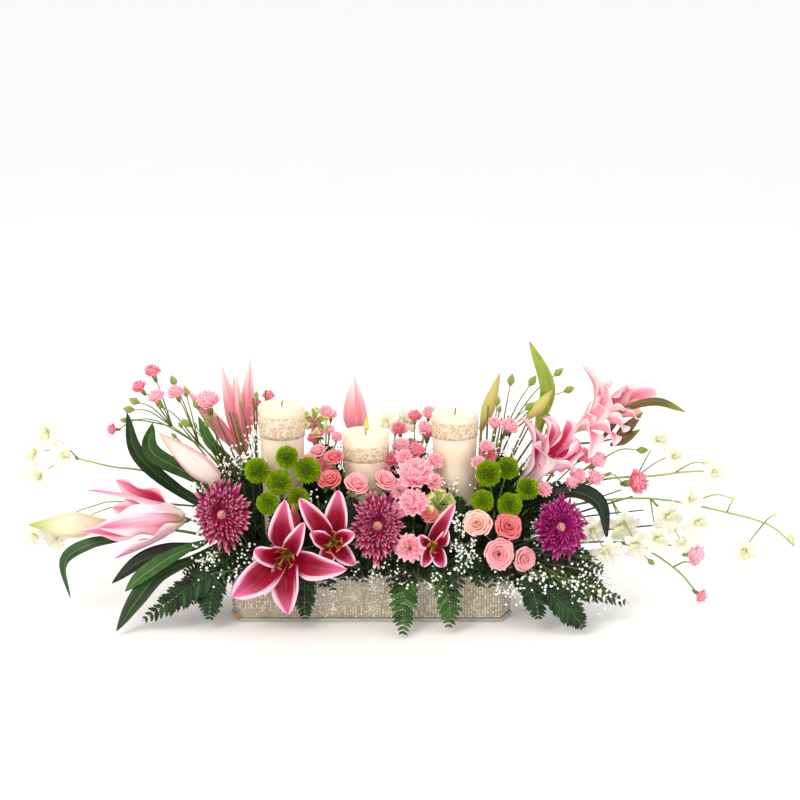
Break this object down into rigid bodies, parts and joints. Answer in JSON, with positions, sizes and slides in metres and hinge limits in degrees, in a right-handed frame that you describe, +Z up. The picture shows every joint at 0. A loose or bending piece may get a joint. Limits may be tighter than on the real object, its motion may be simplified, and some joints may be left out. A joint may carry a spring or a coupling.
{
  "type": "floral table centerpiece",
  "caption": "Long low flower arrangement in a beaded tray, with pillar candles standing in floral foam among lilies, chrysanthemums, roses, carnations, orchids and fern.",
  "frame": {"origin": "centre of the tray's underside, on the surface that the centerpiece stands on", "axes": "+X to the right along the tray's length, +Y towards the back, +Z up"},
  "size_m": [1.1811, 0.3263, 0.402],
  "materials": {
    "candle_wax": "satin wax",
    "wick": "matt, charred",
    "lace_band": "matt",
    "tray": "satin",
    "beads": "glossy pearl and silver",
    "strip": "bright",
    "liner": "satin",
    "foam": "matt, open-celled",
    "crimson_lily": "matt petal",
    "pink_lily": "matt petal",
    "lily_bud": "matt petal",
    "green_bud": "matt bud",
    "leaf": "satin leaf",
    "purple_mum": "matt petal",
    "green_pom": "matt petal",
    "rose": "matt petal",
    "carnation": "matt petal",
    "orchid": "matt petal",
    "breath": "matt floret",
    "fern": "satin leaf"
  },
  "bodies": {
    "root": {"bead_wrap": "beads", "breath_front_right": "breath", "breath_left": "breath", "breath_right": "breath", "breath_upper_left": "breath", "candle_left": "candle_wax", "candle_middle": "candle_wax", "candle_right": "candle_wax", "carnations_far_right": "carnation", "carnations_middle": "carnation", "carnations_right": "carnation", "carnations_upper_left": "carnation", "carnations_upper_right": "carnation", "fern_back": "fern", "fern_front_left": "fern", "fern_front_middle": "fern", "fern_left": "fern", "fern_right": "fern", "floral_foam": "foam", "foot_strip": "strip", "lace_band_left": "lace_band", "lace_band_middle": "lace_band", "lace_band_right": "lace_band", "lily_back": "pink_lily", "lily_bud_back": "pink_lily", "lily_bud_far_left": "lily_bud", "lily_bud_left": "lily_bud", "lily_buds_right": "green_bud", "lily_buds_upper_left": "pink_lily", "lily_front_left": "crimson_lily", "lily_front_middle": "crimson_lily", "lily_front_right": "crimson_lily", "lily_left": "pink_lily", "lily_right": "pink_lily", "lily_stem_front": "leaf", "lily_stem_left": "leaf", "lily_stem_right": "leaf", "lily_stem_upper_right": "leaf", "lily_upper_right": "pink_lily", "liner": "liner", "mum_back": "purple_mum", "mum_left": "purple_mum", "mum_middle": "purple_mum", "mum_right": "purple_mum", "orchids_left": "orchid", "orchids_middle": "orchid", "orchids_right_long": "orchid", "orchids_right_upper": "orchid", "poms_back": "green_pom", "poms_left": "green_pom", "poms_right": "green_pom", "rosebud_front": "rose", "roses_back": "rose", "roses_middle": "rose", "roses_right": "rose", "tray": "tray", "wick_left": "wick", "wick_middle": "wick", "wick_right": "wick"}
  },
  "joints": []
}
